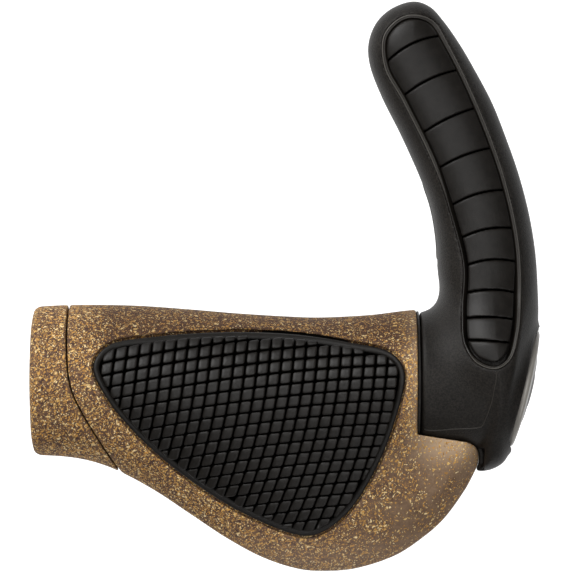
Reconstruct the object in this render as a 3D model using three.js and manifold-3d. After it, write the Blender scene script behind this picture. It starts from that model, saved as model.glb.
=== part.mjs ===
// Right-hand bicycle grip with a palm wing and a bar end, as it is fitted to a 22.2 mm handlebar.
// Millimetres. The origin is at the mouth of the handlebar bore, in the middle of the grip's inner end face.
// +X runs outwards along the handlebar, +Y points forwards along the bar end, +Z is up.
import * as THREE from "three";
import { LoftGeometry } from "three/addons/geometries/LoftGeometry.js";
import { mergeVertices } from "three/addons/utils/BufferGeometryUtils.js";
import Module from "manifold-3d";

const wasm = await Module();
wasm.setup();

// ---- Driving dimensions ----
const GAP = 0.3; // between neighbouring pieces
const BORE_R = 11.2; // takes the 22.2 mm handlebar
const SLEEVE_R = 13.0; // core tube under the cork
const CLAMPED_R = 12.1; // thinner, slotted end of the core tube, under the clamp
const HUB_BORE_R = CLAMPED_R + GAP;
const HUB_R = 15.0;
const CORK_END = 85.1; // where the cork meets the core's end flange
const CORE_FLANGE_END = 85.6;
const HUB_START = CORE_FLANGE_END + GAP;
const BORE_END = 103; // the clamped bore; the end plug sits in a narrower one
const PLUG_BORE_R = 10.2;
const WING_END = 99; // outermost point of the palm wing
const SLEEVE_END = 100;
const PAD_DEPTH = 1.5; // rubber inlays
const CAP_TILT = THREE.MathUtils.degToRad(13.5); // the outer face leans back with the bar end's outline
const CAP_FACE = 106.1; // distance of the trim ring's seat from the origin, along the cap's normal
const CAP_R = 13.15;
const CAP_OFFSET_Y = -1.7; // the cap sits a little behind the handlebar's axis
const BOLT_X = 99.9;
const BOLT_Y = 19.2;
const BOLT_R = 2.4; // M5
const CLAMP_FROM = 97.4;
const CLAMP_TO = 102.4;
const CLAMP_R = 13.9;
const EAR_HALF = 4.6; // along the handlebar
const EAR_FROM_Y = 13;
const EAR_TOP = 5.3; // the clamp ears' outer faces
const EAR_GAP = 0.8; // from the mid-plane to each ear
const EAR_Y = 24.2;
const AROUND = 36; // points round a lofted section
const ROUND_SEGMENTS = 40;

// ---- Materials ----
const material = (color, roughness, metalness = 0) =>
  new THREE.MeshStandardMaterial({ color, roughness, metalness });
const cork = material(0x7a5a38, 0.75);
const rubber = material(0x1d1c1b, 0.7);
const nylon = material(0x232120, 0.55);
const trim = material(0x6b6862, 0.35);
const aluminium = material(0xa9abad, 0.4, 1);
const steel = material(0x3a3a3c, 0.35, 1);

// ---- Solids: three.js geometry in, manifold-3d for cuts and joins ----
function solidOf(geometry) {
  const bare = new THREE.BufferGeometry();
  bare.setAttribute("position", geometry.attributes.position);
  bare.setIndex(geometry.index);
  const merged = mergeVertices(bare, 1e-4);
  return new wasm.Manifold(
    new wasm.Mesh({
      numProp: 3,
      vertProperties: merged.attributes.position.array,
      triVerts: new Uint32Array(merged.index.array),
    }),
  );
}

function geometryOf(solid) {
  const mesh = solid.getMesh();
  const geometry = new THREE.BufferGeometry();
  geometry.setAttribute("position", new THREE.BufferAttribute(mesh.vertProperties, 3));
  geometry.setIndex(new THREE.BufferAttribute(mesh.triVerts, 1));
  geometry.computeVertexNormals();
  return geometry;
}

// A smooth function of one number through [input, output] points.
function curveThrough(points) {
  const last = points.length - 1;
  const slope = (i) => {
    const a = points[Math.max(0, i - 1)];
    const b = points[Math.min(last, i + 1)];
    return (b[1] - a[1]) / (b[0] - a[0]);
  };
  return (x) => {
    if (x <= points[0][0]) return points[0][1];
    if (x >= points[last][0]) return points[last][1];
    const i = points.findIndex((p) => p[0] > x) - 1;
    const [x0, y0] = points[i];
    const [x1, y1] = points[i + 1];
    const h = x1 - x0;
    const t = (x - x0) / h;
    return (
      y0 * (1 + 2 * t) * (1 - t) ** 2 +
      y1 * t * t * (3 - 2 * t) +
      slope(i) * h * t * (1 - t) ** 2 +
      slope(i + 1) * h * t * t * (t - 1)
    );
  };
}

function smoothOutline(points, count = 48) {
  const corners = points.map(([x, y]) => new THREE.Vector3(x, y, 0));
  const curve = new THREE.CatmullRomCurve3(corners, true, "centripetal");
  return curve.getPoints(count).slice(0, count).map((p) => new THREE.Vector2(p.x, p.y));
}

// Moves a closed outline inwards by a distance, or outwards if it is negative.
function inset(outline, distance) {
  const turn = Math.sign(THREE.ShapeUtils.area(outline));
  return outline.map((p, i) => {
    const before = outline.at(i - 1);
    const after = outline[(i + 1) % outline.length];
    const along = after.clone().sub(before).normalize();
    return new THREE.Vector2(p.x - along.y * distance * turn, p.y + along.x * distance * turn);
  });
}

const ORIGIN = new THREE.Vector3(0, 0, 0);
const ALONG_BAR = new THREE.Vector3(1, 0, 0);
const UP = new THREE.Vector3(0, 0, 1);
const SIDE_VIEW = new THREE.Matrix4().makeBasis(new THREE.Vector3(0, 1, 0), UP, ALONG_BAR);

// A prism on an outline in the XY plane, from one height to another. With SIDE_VIEW the outline is in the YZ plane
// and the prism runs along the handlebar.
function prism(outline, low, high, turn = new THREE.Matrix4()) {
  const shape = new THREE.Shape(outline);
  const geometry = new THREE.ExtrudeGeometry(shape, { depth: high - low, bevelEnabled: false });
  return solidOf(geometry.translate(0, 0, low).applyMatrix4(turn));
}

function block(x0, x1, y0, y1, z0, z1) {
  const geometry = new THREE.BoxGeometry(x1 - x0, y1 - y0, z1 - z0);
  return solidOf(geometry.translate((x0 + x1) / 2, (y0 + y1) / 2, (z0 + z1) / 2));
}

// A turned solid: profile points are [radius, distance along the axis].
function turned(profile, origin, direction, segments = ROUND_SEGMENTS) {
  const points = profile.map(([r, d]) => new THREE.Vector2(r, d));
  points.push(points[0].clone());
  const geometry = new THREE.LatheGeometry(points, segments);
  const turn = new THREE.Quaternion().setFromUnitVectors(new THREE.Vector3(0, 1, 0), direction);
  geometry.applyQuaternion(turn).translate(origin.x, origin.y, origin.z);
  const solid = solidOf(geometry);
  return solid.volume() > 0 ? solid : turned([...profile].reverse(), origin, direction, segments);
}

// A cylinder or tube on the handlebar's axis.
function tube(inner, outer, from, to) {
  return turned([[inner, from], [outer, from], [outer, to], [inner, to]], ORIGIN, ALONG_BAR);
}

// ---- The grip's outer form: a round handle that grows a palm wing behind it ----
const gripFront = curveThrough([
  [0, 16.4], [8, 16.8], [22, 16.7], [34, 15.9], [46, 14.9], [60, 14.1], [66, 14.1], [75, 14.6],
  [CORK_END, 15.75], [WING_END, 16],
]);
const gripRear = curveThrough([
  [0, 16.5], [8, 17], [13.6, 18.1], [19, 20.1], [27, 24.4], [35, 29.7], [43, 35], [51, 39.3],
  [59, 41.9], [65.5, 42.35], [72, 41.7], [80, 39.1], [CORK_END, 36], [91, 31], [95.8, 24.4],
  [98.2, 20.1], [WING_END, 16.2],
]);
const gripTop = curveThrough([[0, 16.6], [20, 16.5], [45, 15.6], [65, 15.2], [CORK_END, 15.75]]);
const gripBottom = curveThrough([[0, 16.6], [20, 16.3], [45, 15.2], [65, 14.9], [CORK_END, 15.75]]);
const wingShare = curveThrough([[0, 0], [8, 0], [30, 0.45], [58, 1], [WING_END, 1]]);
const END_ROUND = 2; // radius of the inner end's edge
const WING_ROUND_FROM = 92.6; // from here the wing thins to its rounded outer end
const WING_MID_Z = 2;

// The wing's upper side sinks towards its outer end, to pass behind the hub.
const wingShoulder = curveThrough([[58, 0.8], [74, 0.76], [88, 0.54], [WING_END, 0.44]]);
const wingSlope = curveThrough([[58, 0.43], [74, 0.41], [88, 0.34], [WING_END, 0.28]]);

// Section points as shares of the section's reach to the front, rear, top and bottom:
// [y, z] on a round handle and [y, z] on a full wing.
const sectionShares = (x) => [
  [1, 0, 1, 0],
  [0.72, 0.7, 0.74, 0.7],
  [0, 1, 0, 1],
  [-0.7, 0.71, -0.42, wingShoulder(x)],
  [-0.92, 0.38, -0.8, wingSlope(x)],
  [-1, 0, -1, 0.03],
  [-0.92, -0.38, -0.86, -0.26],
  [-0.71, -0.7, -0.5, -0.41],
  [-0.38, -0.925, -0.24, -0.8],
  [0, -1, 0, -1],
  [0.72, -0.7, 0.72, -0.7],
];

function gripSection(x, grow) {
  const edge = x < END_ROUND ? END_ROUND - Math.sqrt(END_ROUND ** 2 - (END_ROUND - x) ** 2) : 0;
  const reach = grow - edge;
  const wing = wingShare(x);
  const thinning = Math.max(0, (x - WING_ROUND_FROM) / (WING_END + 0.6 - WING_ROUND_FROM));
  const flatten = Math.sqrt(1 - thinning ** 2);
  const corners = sectionShares(x).map(([ry, rz, wy, wz]) => {
    const y = THREE.MathUtils.lerp(ry, wy, wing) * ((ry > 0 ? gripFront(x) : gripRear(x)) + reach);
    const z = THREE.MathUtils.lerp(rz, wz, wing) * ((rz > 0 ? gripTop(x) : gripBottom(x)) + reach);
    return new THREE.Vector3(x, y, WING_MID_Z + (z - WING_MID_Z) * flatten);
  });
  return new THREE.CatmullRomCurve3(corners, true, "centripetal").getPoints(AROUND).slice(0, AROUND);
}

function gripForm(grow = 0) {
  const stations = [0, 0.25, 0.8, 2, 4.5];
  for (let x = 8; x < 92; x += 5) stations.push(x);
  stations.push(92.6, 94.6, 96.2, 97.4, 98.3, 98.9, WING_END);
  return solidOf(
    new LoftGeometry(stations.map((x) => gripSection(x, grow)), { capStart: true, capEnd: true }),
  );
}

// ---- Grip pieces ----

// The joint between the collar and the main cork: straight across the front, sweeping outwards behind.
function seamX(y) {
  const behind = -1.7 - y;
  return 7.8 + 0.31 * (behind + Math.hypot(behind, 5));
}

function collarSide(offset) {
  const outline = [new THREE.Vector2(-1, 30)];
  for (let y = 30; y >= -40; y -= 2.5) outline.push(new THREE.Vector2(seamX(y) + offset, y));
  outline.push(new THREE.Vector2(-1, -40));
  return prism(outline, -30, 30);
}

const WING_PLATE = [
  [20, -8], [30, -17], [46, -28.5], [62, -34.5], [76, -32], [86, -25], [92.5, -18], [92, -15.8],
  [84, -11], [60, -9], [36, -7],
];
const LOCKING_HOLES = [[47, -19], [62, -22], [77, -21]];

function lockingPins(radius) {
  return LOCKING_HOLES.map(([x, y]) =>
    turned([[0, -5], [radius, -5], [radius, 8], [0, 8]], new THREE.Vector3(x, y, 0), UP, 20),
  ).reduce((all, pin) => all.add(pin));
}

// The plate that carries the wing, with holes that the cork flows through. It clears the hub.
function wingPlate(spare) {
  const plate = prism(inset(smoothOutline(WING_PLATE, 40), -spare), 0.4 - spare, 2.6 + spare);
  return plate
    .subtract(tube(0, SLEEVE_R - 0.5, 10, CORK_END - 1))
    .subtract(tube(0, HUB_R + 1 - spare, CORK_END - 1, 110))
    .subtract(lockingPins(2.6 - spare));
}

// The rigid core: a tube on the handlebar with the wing's plate. spare makes it thicker, for the room in the cork.
function gripCore(spare = 0) {
  const inCork = tube(BORE_R, SLEEVE_R + spare, 0, CORK_END).add(wingPlate(spare));
  if (spare) return inCork;
  const endFlange = tube(BORE_R, HUB_R + 0.4, CORK_END + GAP / 3, CORE_FLANGE_END);
  const clampedEnd = tube(BORE_R, CLAMPED_R, CORK_END - 1, SLEEVE_END);
  const slotFrom = CORE_FLANGE_END + 5;
  return inCork
    .add(endFlange)
    .add(tube(BORE_R, SLEEVE_R, CORK_END - 1, CORE_FLANGE_END))
    .add(clampedEnd)
    .subtract(block(slotFrom, SLEEVE_END + 1, -0.8, 0.8, -20, 20))
    .subtract(block(slotFrom, SLEEVE_END + 1, -20, 20, -0.8, 0.8));
}

const PALM_OUTLINE = [
  [13.8, 3.8], [17, 8.3], [28, 10.4], [43.5, 11.4], [58, 10.9], [70, 9.1], [79.5, 6.7], [82.4, 2.6],
  [80.8, -7.5], [76, -20], [69, -30.3], [61.5, -34.6], [50, -31.2], [37, -23.7], [25, -13.8],
  [16.6, -3.6],
];
const palmOutline = smoothOutline(PALM_OUTLINE, 56);

// The open corner of the wing that the bar end's hub turns in.
function hubRoom() {
  const wall = [[CORK_END, -11.8], [98.2, -14.4], [104, -14.6], [104, 30], [CORK_END, 30]];
  const corner = prism(wall.map(([x, y]) => new THREE.Vector2(x, y)), -30, 30);
  return corner.add(tube(0, HUB_R + 0.5, CORK_END, 110));
}

function gripPieces() {
  const form = gripForm();
  const core = gripCore(GAP);
  const cork = form.subtract(core).subtract(tube(0, SLEEVE_R, -1, CORK_END));
  const palmRecess = prism(palmOutline, 2, 30).subtract(gripForm(-PAD_DEPTH));
  return {
    grip_core: gripCore(),
    cork_shell: cork.subtract(collarSide(GAP)).subtract(palmRecess).subtract(hubRoom()),
    inner_collar: cork.intersect(collarSide(0)),
    palm_pad: gripForm(0.35).intersect(prism(inset(palmOutline, GAP), 2, 30)).subtract(gripForm(-PAD_DEPTH + GAP)),
  };
}

// ---- The bar end's outer form: an oval horn swept forwards from a lobe behind the handlebar ----
// Centre x, y, half width across the sweep and half thickness.
const HORN = [
  [102.8, -15, 3.4, 7.2], [103.4, -12, 3.8, 10], [104.4, -6, 4.9, 13.8], [103.4, 0, 8, 16.8],
  [102.3, 4, 9.7, 17.6], [101.6, 8, 10.6, 17.1], [100.4, 12, 11.8, 15.6], [99.9, 17, 12.3, 13.2],
  [100.6, 22, 11.5, 11.6], [100.7, 28, 11, 10.7], [99.8, 35.5, 10.7, 10.2], [98.1, 42, 10.6, 10],
  [95.4, 49.4, 10.6, 9.8], [92.2, 57.2, 10.6, 9.5], [89.1, 63.7, 10.4, 9.2], [86.4, 69.6, 10, 8.8],
  [84.4, 74.2, 9.6, 8.3],
];
const REAR_END = 3.6; // how far the horn's round rear end stands behind its last section
const TIP_LENGTH = 9.9;
const OVAL_POWER = 2.4; // a little squarer than an ellipse

function hornSection(centre, along, halfWidth, halfThickness) {
  const across = new THREE.Vector3(-along.y, along.x, 0);
  return Array.from({ length: AROUND }, (_, i) => {
    const angle = (i / AROUND) * 2 * Math.PI;
    const squared = (value) => Math.sign(value) * Math.abs(value) ** (2 / OVAL_POWER);
    return centre
      .clone()
      .addScaledVector(across, halfWidth * squared(Math.cos(angle)))
      .addScaledVector(UP, halfThickness * squared(Math.sin(angle)));
  });
}

function hornForm(grow = 0) {
  const line = new THREE.CatmullRomCurve3(HORN.map(([x, y]) => new THREE.Vector3(x, y, 0)));
  const size = new THREE.CatmullRomCurve3(HORN.map(([, , a, b]) => new THREE.Vector3(a, b, 0)));
  const sections = [];
  const roundEnd = (share, length, direction) => {
    const centre = line.getPoint(share);
    const { x: a, y: b } = size.getPoint(share);
    for (const angle of [15, 33, 50, 66, 80]) {
      const turn = THREE.MathUtils.degToRad(angle);
      const forwards = line.getTangent(share);
      const shift = forwards.clone().multiplyScalar(direction * (length + grow) * Math.sin(turn));
      const narrow = Math.cos(turn);
      sections.push(
        hornSection(centre.clone().add(shift), forwards, (a + grow) * narrow, (b + grow) * narrow),
      );
    }
  };
  roundEnd(0, REAR_END, -1);
  sections.reverse();
  const steps = 26;
  for (let i = 0; i <= steps; i++) {
    const share = i / steps;
    const { x: a, y: b } = size.getPoint(share);
    sections.push(hornSection(line.getPoint(share), line.getTangent(share), a + grow, b + grow));
  }
  roundEnd(1, TIP_LENGTH, 1);
  return solidOf(new LoftGeometry(sections, { capStart: true, capEnd: true }));
}

// The lobe behind the hub closes the space beyond the wing's end. Its plan is [x, y]; its side is [y, half height].
const LOBE_PLAN = [
  [99.35, -8], [99.35, -16.2], [99, -18.6], [98.5, -20], [100.8, -19.95], [102.9, -19.3], [104.7, -17.8],
  [105.7, -15.6], [106.9, -10], [107.4, -8],
];
const LOBE_SIDE = [[-8, 13.2], [-12, 10.6], [-15, 8.2], [-18, 5.7], [-19.5, 3.6], [-20.2, 1.2]];

function rearLobe() {
  const plan = LOBE_PLAN.map(([x, y]) => new THREE.Vector2(x, y));
  const top = LOBE_SIDE.map(([y, z]) => new THREE.Vector2(y, z));
  const bottom = LOBE_SIDE.map(([y, z]) => new THREE.Vector2(y, -z)).reverse();
  return prism(plan, -20, 20).intersect(prism([...top, ...bottom], 90, 120, SIDE_VIEW));
}

// ---- Bar end pieces ----
const THUMB_OUTLINE = [
  [101.9, 2.9], [97.8, 4.2], [95.2, 8.4], [94.8, 15], [95.2, 25.5], [93.3, 34], [88.9, 47.4],
  [82.1, 61.5], [77.9, 69.5], [77.9, 76.5], [82.5, 80.6], [88.3, 79.7], [92.2, 73.8], [98.8, 59.8],
  [104.2, 45], [107.2, 31.5], [107.8, 21], [106.9, 10.5], [105, 4.8],
];
const BACK_OUTLINE = [
  [100.5, 25.6], [92, 25.8], [87.6, 28], [86.8, 36], [85.5, 47], [81.8, 58], [77.9, 67], [78.9, 75.3],
  [84.5, 78.3], [90.5, 73.5], [97, 66], [105, 55], [110.5, 44], [113.4, 34], [113, 27.6],
  [109, 25.8],
];
const COVER_OUTLINE = [
  [100.6, 29], [95.4, 32], [91.8, 43], [86.8, 54], [82.4, 64.5], [81.9, 71], [86.2, 72], [91.8, 64],
  [98.2, 52.5], [103.2, 41], [105.4, 32.5],
];
const thumbOutline = smoothOutline(THUMB_OUTLINE, 52);
const backOutline = smoothOutline(BACK_OUTLINE, 48);
const coverOutline = smoothOutline(COVER_OUTLINE, 36);
const BACK_PAD_TOP = -0.4; // the back pad wraps up to the horn's widest line
const COVER_TOP = -6;
const HORN_WALL = 3.2;

const capNormal = new THREE.Vector3(Math.cos(CAP_TILT), -Math.sin(CAP_TILT), 0);
const capSeat = new THREE.Vector3(
  (CAP_FACE + Math.sin(CAP_TILT) * CAP_OFFSET_Y) / Math.cos(CAP_TILT),
  CAP_OFFSET_Y,
  0,
);

function capTurned(profile) {
  return turned(profile, capSeat, capNormal);
}

function boltTurned(profile, segments = 32) {
  return turned(profile, new THREE.Vector3(BOLT_X, BOLT_Y, 0), UP, segments);
}

function clampBand() {
  const ears = block(BOLT_X - EAR_HALF, BOLT_X + EAR_HALF, EAR_FROM_Y, EAR_Y, -EAR_TOP, EAR_TOP);
  return tube(HUB_BORE_R, CLAMP_R, CLAMP_FROM, CLAMP_TO)
    .add(ears.subtract(tube(0, CLAMP_R - 0.4, 80, 110)))
    .subtract(block(80, 110, 0, EAR_Y + 1, -EAR_GAP, EAR_GAP))
    .subtract(boltTurned([[0, -9], [BOLT_R + GAP, -9], [BOLT_R + GAP, 9], [0, 9]]));
}

function clampRoom() {
  const half = EAR_HALF + GAP;
  const high = EAR_TOP + GAP;
  return tube(0, CLAMP_R + GAP, CLAMP_FROM - GAP, CLAMP_TO + GAP)
    .add(block(BOLT_X - half, BOLT_X + half, EAR_FROM_Y - GAP, EAR_Y + GAP, -high, high))
    .add(block(80, CLAMP_TO, 5, EAR_Y, -0.5, 0.5));
}

const HEAD_R = 4.25;
const HEAD_HEIGHT = 5;
const WASHER_TOP = -EAR_TOP - GAP;
const WASHER_BOTTOM = WASHER_TOP - 0.8;
const HEAD_TOP = WASHER_BOTTOM - GAP;
const BOLT_END = 4.9;

// An M5 cap screw, head down, with its hexagon socket.
function clampBolt() {
  const bottom = HEAD_TOP - HEAD_HEIGHT;
  const chamfer = 0.5;
  const outside = boltTurned([
    [0, bottom], [HEAD_R - chamfer, bottom], [HEAD_R, bottom + chamfer], [HEAD_R, HEAD_TOP],
    [BOLT_R, HEAD_TOP], [BOLT_R, BOLT_END - chamfer], [BOLT_R - chamfer, BOLT_END], [0, BOLT_END],
  ]);
  const socketCorner = 4 / Math.sqrt(3);
  return outside.subtract(
    boltTurned([[0, bottom - 1], [socketCorner, bottom - 1], [socketCorner, bottom + 2.8], [0, bottom + 2.8]], 6),
  );
}

function washer() {
  return boltTurned([
    [BOLT_R + GAP, WASHER_BOTTOM], [4.6, WASHER_BOTTOM], [4.6, WASHER_TOP], [BOLT_R + GAP, WASHER_TOP],
  ]);
}

const CAP_FLANGE_R = 11.9;

// The plug closes the hub: a domed disc inside the trim ring, a hidden flange and a skirt that clips in the bore.
function endPlug() {
  const disc = capTurned([
    [0, -1.1], [CAP_FLANGE_R, -1.1], [CAP_FLANGE_R, 0], [8.9, 0], [8.9, 0.9], [8.5, 1.2], [7.3, 1.45], [4, 1.8],
    [0, 1.95],
  ]);
  const behindDisc = capTurned([[0, -30], [30, -30], [30, -0.5], [0, -0.5]]);
  const skirt = tube(PLUG_BORE_R - GAP - 1.3, PLUG_BORE_R - GAP, SLEEVE_END + 1.4, 113);
  return disc.add(skirt.intersect(behindDisc));
}

function trimRing() {
  return capTurned([
    [9.2, GAP], [CAP_R, GAP], [CAP_R, 0.8], [CAP_R - 0.5, 1.1], [9.4, 1.35], [9.2, 1.15],
  ]);
}

function barEndForm(grow = 0) {
  const edge = 0.7;
  const r = HUB_R + grow;
  const hub = [[0, HUB_START], [r - edge, HUB_START], [r, HUB_START + edge], [r, BORE_END], [0, BORE_END]];
  return hornForm(grow).add(turned(hub, ORIGIN, ALONG_BAR)).add(rearLobe());
}

function barEndPieces() {
  const form = barEndForm();
  const padFloor = barEndForm(-PAD_DEPTH);
  const padBack = barEndForm(-PAD_DEPTH + GAP);
  const beyondSeat = [[0, 0], [40, 0], [40, 20], [0, 20]];
  const capRoom = [[0, -1.4], [CAP_FLANGE_R + GAP, -1.4], [CAP_FLANGE_R + GAP, 1], [0, 1]];
  const boltRoom = [[0, -20], [5.1, -20], [5.1, -EAR_TOP], [0, -EAR_TOP]];
  const hollow = prism(inset(coverOutline, 1.2), -30, 4.4).intersect(hornForm(-HORN_WALL));
  const body = form
    .subtract(tube(0, HUB_BORE_R, 80, BORE_END))
    .subtract(tube(0, PLUG_BORE_R, 80, 115))
    .subtract(capTurned(capRoom))
    .subtract(capTurned(beyondSeat))
    .subtract(prism(thumbOutline, 2, 30).subtract(padFloor))
    .subtract(prism(backOutline, -30, BACK_PAD_TOP + GAP).subtract(padFloor))
    .subtract(prism(coverOutline, -30, COVER_TOP))
    .subtract(hollow)
    .subtract(clampRoom())
    .subtract(boltTurned(boltRoom));
  return {
    bar_end_body: body,
    thumb_pad: barEndForm(-0.1)
      .intersect(prism(inset(thumbOutline, 1), 2, 30))
      .subtract(padBack),
    back_pad: barEndForm(0.3)
      .intersect(prism(inset(backOutline, GAP), -30, BACK_PAD_TOP))
      .subtract(padBack),
    back_cover: hornForm(-PAD_DEPTH).intersect(prism(inset(coverOutline, GAP), -30, COVER_TOP - GAP)),
    clamp_band: clampBand(),
  };
}

// ---- Assembly ----
const part = new THREE.Group();
part.name = "bar_end_grip";

function addAll(solids, materials) {
  const group = new THREE.Group();
  for (const [name, solid] of Object.entries(solids)) {
    const mesh = new THREE.Mesh(geometryOf(solid), materials[name]);
    mesh.name = name;
    group.add(mesh);
  }
  part.add(group);
}

addAll(gripPieces(), { grip_core: nylon, cork_shell: cork, inner_collar: cork, palm_pad: rubber });
addAll(barEndPieces(), {
  bar_end_body: nylon,
  thumb_pad: rubber,
  back_pad: rubber,
  back_cover: nylon,
  clamp_band: aluminium,
});
addAll({ bolt_washer: washer(), clamp_bolt: clampBolt() }, { bolt_washer: steel, clamp_bolt: steel });
addAll({ end_plug: endPlug(), trim_ring: trimRing() }, { end_plug: nylon, trim_ring: trim });

export default part;
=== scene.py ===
"""Looks of the right-hand cork grip with its bar end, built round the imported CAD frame.

Lengths are millimetres in the CAD's own frame: +X outwards along the handlebar, +Y forwards, +Z up. They
become metres where a mesh is made. Smooth moulded forms are signed distance fields on a grid, turned into
meshes by surface nets; pads and their patterns are laid on those forms. The floor, the lights and the camera
are placed in metres.
"""

import functools
import math

import bpy
import numpy as np
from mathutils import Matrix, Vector


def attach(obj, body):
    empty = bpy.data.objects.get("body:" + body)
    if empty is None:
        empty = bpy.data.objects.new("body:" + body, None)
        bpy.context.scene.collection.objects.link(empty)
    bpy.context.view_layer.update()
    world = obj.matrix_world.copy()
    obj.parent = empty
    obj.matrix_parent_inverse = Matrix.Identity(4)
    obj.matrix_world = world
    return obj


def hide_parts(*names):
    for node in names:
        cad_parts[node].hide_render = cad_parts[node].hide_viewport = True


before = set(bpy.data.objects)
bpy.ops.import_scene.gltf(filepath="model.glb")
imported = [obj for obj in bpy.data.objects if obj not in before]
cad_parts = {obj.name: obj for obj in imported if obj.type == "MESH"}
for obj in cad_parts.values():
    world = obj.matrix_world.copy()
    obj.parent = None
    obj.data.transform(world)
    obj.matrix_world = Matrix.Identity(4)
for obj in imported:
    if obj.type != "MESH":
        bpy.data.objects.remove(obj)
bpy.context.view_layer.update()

MM = 0.001
GAP = 0.3  # between neighbouring parts
SLEEVE_R = 13.0  # outside of the stiff core that the cork is moulded on
HUB_BORE_R = 12.4  # the hub's bore, over the core's neck
HUB_R = 15.0
CORK_END = 85.1  # the round cork ends here, and only the wing goes on
HUB_START = 85.9
WING_END = 99.0
BORE_END = 103.0  # the hub's bore ends here, and the plug's narrower bore goes on
PLUG_BORE_R = 10.2
PAD_DEPTH = 1.5  # depth of the recesses of the palm pad and the back pad
THUMB_DEPTH = 2.5
TOP_FROM = 2  # height above which the cuts into an upper side start
CAP_TILT = math.radians(13.5)  # the end cap's axis leans back by this much
CAP_FACE = 106.2  # where the cap's seat crosses the handlebar's axis
CAP_R = 13.15
CAP_Y = -1.7
CAP_SEAT_X = (CAP_FACE + math.sin(CAP_TILT) * CAP_Y) / math.cos(CAP_TILT)
BOLT = (99.9, 19.2)
STEP = 0.4  # grid of the moulded forms
FINE = 0.22  # grid of the finer pieces


# ---------------------------------------------------------------- curves

def curve_through(points):
    """A smooth function of one number through (input, output) points."""
    xs, ys = np.array(points, float).T
    slopes = np.empty(len(xs))
    slopes[1:-1] = (ys[2:] - ys[:-2]) / (xs[2:] - xs[:-2])
    slopes[0] = (ys[1] - ys[0]) / (xs[1] - xs[0])
    slopes[-1] = (ys[-1] - ys[-2]) / (xs[-1] - xs[-2])

    def value(x):
        x = np.clip(x, xs[0], xs[-1])
        i = np.clip(np.searchsorted(xs, x, side="right") - 1, 0, len(xs) - 2)
        h = xs[i + 1] - xs[i]
        t = (x - xs[i]) / h
        rise = t * t * (3 - 2 * t)
        bend = slopes[i] * h * t * (1 - t) ** 2 + slopes[i + 1] * h * t * t * (t - 1)
        return ys[i] * (1 - rise) + ys[i + 1] * rise + bend

    return value


def smooth_loop(points, count):
    """Points on the closed centripetal Catmull-Rom curve through the given ones."""
    p = np.asarray(points, float)
    share = np.arange(count) / count * len(p)
    i = share.astype(int)
    t = (share - i)[:, None]
    a, b, c, d = (p[(i + k) % len(p)] for k in (-1, 0, 1, 2))
    ab, bc, cd = (np.linalg.norm(q - r, axis=1)[:, None] ** 0.5 for q, r in ((b, a), (c, b), (d, c)))
    start = ((b - a) / ab - (c - a) / (ab + bc) + (c - b) / bc) * bc
    end = ((c - b) / bc - (d - b) / (bc + cd) + (d - c) / cd) * bc
    rise = t * t * (3 - 2 * t)
    return b * (1 - rise) + c * rise + start * t * (1 - t) ** 2 + end * t * t * (t - 1)


def loop_distance(loop, x, y):
    """Signed distance from points to a closed outline, negative inside."""
    edges = np.roll(loop, -1, axis=0) - loop
    squares = (edges ** 2).sum(1)
    best = np.full(x.shape, np.inf)
    inside = np.zeros(x.shape, bool)
    for (ax, ay), (ex, ey), square in zip(loop, edges, squares):
        px, py = x - ax, y - ay
        t = np.clip((px * ex + py * ey) / square, 0, 1)
        best = np.minimum(best, (px - t * ex) ** 2 + (py - t * ey) ** 2)
        if ey:
            crosses = (ay > y) != (ay + ey > y)
            inside ^= crosses & (px < py * ex / ey)
    return np.where(inside, -1, 1) * np.sqrt(best)


# ---------------------------------------------------------------- fields and their skins

def join(a, b, k):
    """Union of two fields with a fillet of about k."""
    h = np.clip(0.5 + 0.5 * (b - a) / k, 0, 1)
    return b + (a - b) * h - k * h * (1 - h)


def meet(a, b, k=0.5):
    """Intersection of two fields with an edge rounded by about k."""
    return -join(-a, -b, k)


def cut(a, b, k=0.5):
    """Field a without field b, with an edge rounded by about k."""
    return meet(a, -b, k)


def overlap(*fields):
    """Intersection of fields, with sharp edges."""
    return functools.reduce(np.maximum, fields)


def sharp_cut(a, *fields):
    """Field a without the overlap of the other fields, with sharp edges."""
    return np.maximum(a, -overlap(*fields))


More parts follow.
